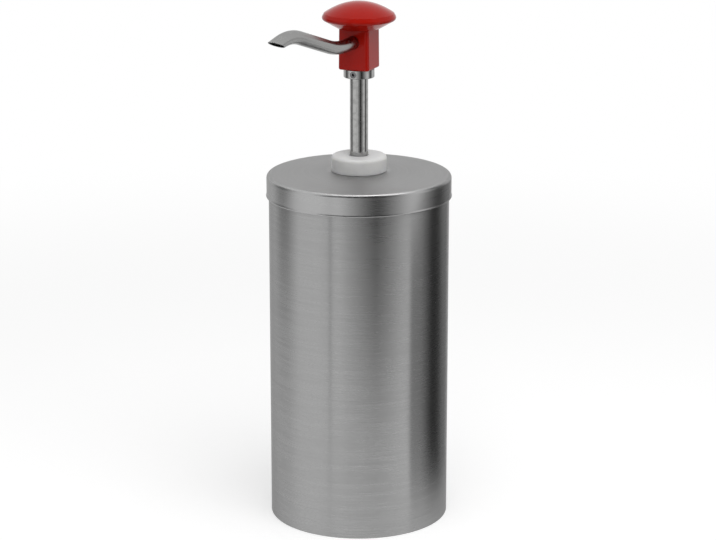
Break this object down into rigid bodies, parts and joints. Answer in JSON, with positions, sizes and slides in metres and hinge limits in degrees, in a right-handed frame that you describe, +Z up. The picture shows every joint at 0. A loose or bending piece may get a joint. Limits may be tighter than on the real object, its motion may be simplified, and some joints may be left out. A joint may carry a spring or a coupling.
{
  "type": "sauce dispenser",
  "caption": "Tall round steel sauce dispenser with a lift-off lid that carries a spring-return plunger pump, a red mushroom knob and a bent spout.",
  "frame": {"origin": "centre of the container's foot, on the plane on which it stands, on the common axis of container, lid and pump", "axes": "+Z up along the pump's axis, -Y towards the spout's outlet at rest, +X to the right seen from the spout's side"},
  "size_m": [0.1492, 0.2407, 0.4237],
  "materials": {
    "brushed_sheet": "stainless sheet with a fine brushed grain that runs round the container",
    "brushed_lid": "stainless sheet, brushed round the skirt and satin on top",
    "satin_steel": "satin stainless tube, ground lengthways",
    "polished_steel": "polished stainless balls and pins",
    "spring_steel": "drawn stainless spring wire",
    "dark_screw_steel": "stainless grub screw with a hexagon socket",
    "white_plastic": "turned white plastic with a slight sheen",
    "red_plastic": "gloss red moulded plastic",
    "rubber": "black sealing rubber"
  },
  "bodies": {
    "container": {"container_wall": "brushed_sheet", "container_base": "brushed_sheet"},
    "pump_lid": {"lid": "brushed_lid", "lid_gasket": "rubber", "clamp_nut": "white_plastic", "guide_bush": "white_plastic", "rod_wiper": "rubber", "bush_seal": "rubber", "pump_cylinder": "white_plastic", "foot_valve_body": "white_plastic", "foot_valve_seal": "rubber", "foot_ball_pin": "polished_steel", "suction_tube": "satin_steel"},
    "foot_ball": {"foot_valve_ball": "polished_steel"},
    "spring_seat": {"return_spring": "spring_steel", "spring_washer": "satin_steel"},
    "plunger": {"piston": "white_plastic", "piston_rings": "rubber", "delivery_ball_pin": "polished_steel", "piston_rod": "satin_steel", "stop_collar": "satin_steel", "grub_screw": "dark_screw_steel", "head_block": "red_plastic", "head_seal": "rubber", "push_knob": "red_plastic", "spout_tube": "satin_steel", "spout_seal": "rubber"},
    "delivery_ball": {"delivery_ball": "polished_steel"}
  },
  "joints": [
    {"name": "lid_lift", "type": "slide", "parent": "container", "child": "pump_lid", "axis": [0, 0, 1], "range_m": [0, 0.28]},
    {"name": "plunger_slide", "type": "slide", "parent": "pump_lid", "child": "spring_seat", "axis": [0, 0, -1], "range_m": [0, 0.063], "stiffness_N_per_m": 547, "springref_m": -0.031, "deforming": ["return_spring"]},
    {"name": "head_turn", "type": "hinge", "parent": "spring_seat", "child": "plunger", "pos_m": [0, 0, 0.245], "axis": [0, 0, 1], "continuous": true},
    {"name": "delivery_ball_lift", "type": "slide", "parent": "plunger", "child": "delivery_ball", "axis": [0, 0, 1], "range_m": [0, 0.003]},
    {"name": "foot_ball_lift", "type": "slide", "parent": "pump_lid", "child": "foot_ball", "axis": [0, 0, 1], "range_m": [0, 0.003]}
  ]
}
